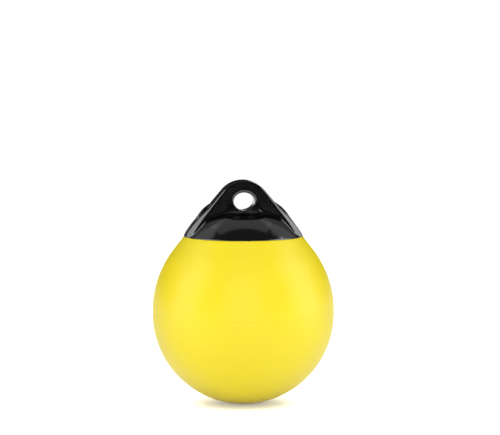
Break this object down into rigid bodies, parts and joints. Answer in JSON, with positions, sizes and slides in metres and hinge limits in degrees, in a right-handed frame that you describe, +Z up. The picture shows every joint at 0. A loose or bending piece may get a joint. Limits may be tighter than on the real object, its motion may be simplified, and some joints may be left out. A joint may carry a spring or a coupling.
{
  "type": "inflatable anchor buoy",
  "caption": "Round-bottomed teardrop float of inflated vinyl with a moulded black ropehold, its lug pierced by an oval rope eye, and a needle valve behind it.",
  "frame": {"origin": "on the float's upright axis at the waterline, 57.5 mm above its lowest point", "axes": "+Z up through the lug, X along the lug's width, Y along the eye's axis, with the needle valve on the +Y side"},
  "size_m": [0.2999, 0.3, 0.3699],
  "materials": {
    "yellow_vinyl": "glossy moulded vinyl",
    "black_vinyl": "glossy moulded vinyl",
    "valve_rubber": "matt rubber"
  },
  "bodies": {
    "root": {"float_body": "yellow_vinyl", "ropehold": "black_vinyl", "needle_valve": "valve_rubber"}
  },
  "joints": []
}
